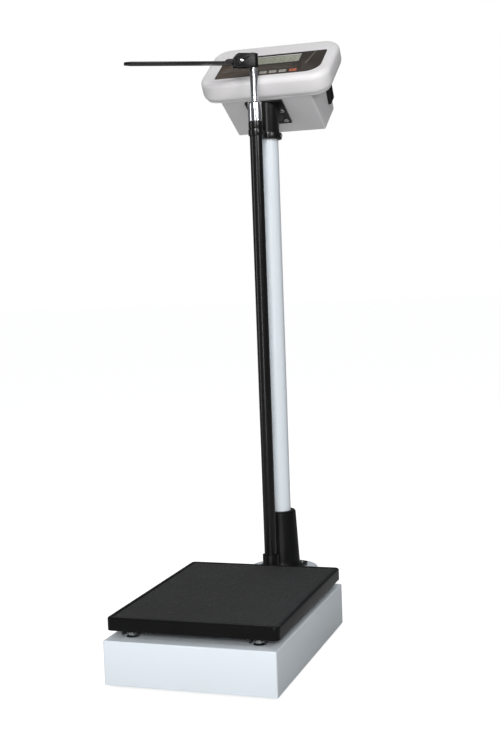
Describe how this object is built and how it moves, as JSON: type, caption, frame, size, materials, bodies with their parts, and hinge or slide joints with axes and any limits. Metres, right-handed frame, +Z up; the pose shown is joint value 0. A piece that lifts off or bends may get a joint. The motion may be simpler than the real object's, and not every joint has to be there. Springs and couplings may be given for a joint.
{
  "type": "physician scale",
  "caption": "Floor-standing electronic physician scale: low weighing platform on a sheet-steel base, rear column with a tilted display head, and a telescoping height rod with a folding arm.",
  "frame": {"origin": "on the floor, under the middle of the base cover", "axes": "+Z up, +X to the right of a person reading the display, +Y towards the column at the back"},
  "size_m": [0.3396, 0.6315, 1.041],
  "materials": {
    "white_paint": "gloss powder coat on sheet steel",
    "frame_paint": "satin black paint on steel",
    "tray_black": "gloss black paint on sheet steel",
    "zinc_steel": "zinc plated fasteners",
    "cell_aluminium": "machined aluminium alloy",
    "foot_rubber": "moulded rubber",
    "mat_rubber": "fine grid texture",
    "socket_black": "moulded, satin gloss",
    "rod_black": "gloss black tube",
    "chrome": "bright plated",
    "bush_nylon": "natural nylon",
    "arm_black": "black anodised",
    "head_black": "moulded, gloss",
    "housing_white": "light grey-white moulding",
    "overlay_brown": "printed polyester film",
    "window_clear": "clear acrylic",
    "lcd_grey": "grey-green liquid crystal glass",
    "key_grey": "embossed film",
    "key_orange": "embossed film",
    "board_green": "solder mask",
    "battery_grey": "moulded case",
    "inlet_black": "moulded",
    "cable_grey": "flexible sheath"
  },
  "bodies": {
    "base": {"base_cover": "white_paint", "rear_tongue": "white_paint", "base_plate": "frame_paint", "tongue_bolts": "zinc_steel", "load_cell": "cell_aluminium", "lower_spacer": "zinc_steel", "lower_cell_bolts": "zinc_steel", "foot_lock_nuts": "zinc_steel", "column_socket": "socket_black", "socket_bolts": "zinc_steel", "socket_set_screws": "zinc_steel", "rod_foot": "socket_black", "rod_foot_screws": "zinc_steel", "column_tube": "white_paint", "column_bracket": "rod_black", "bracket_screws": "zinc_steel", "rod_clamp": "rod_black", "rod_clamp_screws": "zinc_steel", "rod_outer_tube": "rod_black", "rod_collar": "rod_black", "outer_guide_bush": "bush_nylon", "front_bezel": "housing_white", "rear_housing": "housing_white", "housing_screws": "zinc_steel", "overlay_panel": "overlay_brown", "display_window": "window_clear", "lcd_module": "lcd_grey", "circuit_board": "board_green", "battery": "battery_grey", "power_inlet": "inlet_black", "cable_grommet": "foot_rubber", "signal_cable": "cable_grey"},
    "spider": {"platform_spider": "frame_paint", "upper_spacer": "zinc_steel", "upper_cell_bolts": "zinc_steel", "overload_stops": "zinc_steel", "support_pads": "foot_rubber"},
    "platform": {"platform_tray": "tray_black", "platform_mat": "mat_rubber"},
    "middle_stage": {"middle_tube": "chrome", "middle_ferrule": "chrome", "middle_slider": "bush_nylon"},
    "inner_stage": {"inner_rod": "chrome", "inner_slider": "bush_nylon", "head_screw": "zinc_steel"},
    "swivel_head": {"arm_head": "head_black", "arm_pivot": "zinc_steel"},
    "arm": {"measuring_arm": "arm_black"},
    "front_left_leveller": {"front_left_foot": "foot_rubber", "front_left_stud": "zinc_steel"},
    "front_right_leveller": {"front_right_foot": "foot_rubber", "front_right_stud": "zinc_steel"},
    "rear_left_leveller": {"rear_left_foot": "foot_rubber", "rear_left_stud": "zinc_steel"},
    "rear_right_leveller": {"rear_right_foot": "foot_rubber", "rear_right_stud": "zinc_steel"},
    "zero_key": {"zero_key": "key_grey"},
    "hold_key": {"hold_key": "key_grey"},
    "unit_key": {"unit_key": "key_grey"},
    "power_key": {"power_key": "key_orange"}
  },
  "joints": [
    {"name": "platform_load", "type": "slide", "parent": "base", "child": "spider", "axis": [0, 0, 1], "range_m": [-0.0012, 0], "stiffness_N_per_m": 2000000, "springref_m": 0.0001, "deforming": ["load_cell"]},
    {"name": "platform_lift_off", "type": "slide", "parent": "spider", "child": "platform", "axis": [0, 0, 1], "range_m": [0, 0.06]},
    {"name": "middle_stage_slide", "type": "slide", "parent": "base", "child": "middle_stage", "axis": [0, 0, 1], "range_m": [0, 0.56]},
    {"name": "inner_stage_slide", "type": "slide", "parent": "middle_stage", "child": "inner_stage", "axis": [0, 0, 1], "range_m": [0, 0.56]},
    {"name": "head_swivel", "type": "hinge", "parent": "inner_stage", "child": "swivel_head", "pos_m": [0, 0.224, 0.9813], "axis": [0, 0, 1], "range_deg": [-28, 152]},
    {"name": "arm_fold", "type": "hinge", "parent": "swivel_head", "child": "arm", "pos_m": [-0.01942, 0.21367, 0.9923], "axis": [0.4695, -0.8829, 0], "range_deg": [0, 90]},
    {"name": "front_left_level", "type": "slide", "parent": "base", "child": "front_left_leveller", "axis": [0, 0, 1], "range_m": [-0.006, 0.003]},
    {"name": "front_right_level", "type": "slide", "parent": "base", "child": "front_right_leveller", "axis": [0, 0, 1], "range_m": [-0.006, 0.003]},
    {"name": "rear_left_level", "type": "slide", "parent": "base", "child": "rear_left_leveller", "axis": [0, 0, 1], "range_m": [-0.006, 0.003]},
    {"name": "rear_right_level", "type": "slide", "parent": "base", "child": "rear_right_leveller", "axis": [0, 0, 1], "range_m": [-0.006, 0.003]},
    {"name": "zero_key_press", "type": "slide", "parent": "base", "child": "zero_key", "axis": [0, -0.5592, 0.829], "range_m": [-0.0005, 0], "stiffness_N_per_m": 600, "springref_m": 0.0005},
    {"name": "hold_key_press", "type": "slide", "parent": "base", "child": "hold_key", "axis": [0, -0.5592, 0.829], "range_m": [-0.0005, 0], "stiffness_N_per_m": 600, "springref_m": 0.0005},
    {"name": "unit_key_press", "type": "slide", "parent": "base", "child": "unit_key", "axis": [0, -0.5592, 0.829], "range_m": [-0.0005, 0], "stiffness_N_per_m": 600, "springref_m": 0.0005},
    {"name": "power_key_press", "type": "slide", "parent": "base", "child": "power_key", "axis": [0, -0.5592, 0.829], "range_m": [-0.0005, 0], "stiffness_N_per_m": 600, "springref_m": 0.0005}
  ]
}
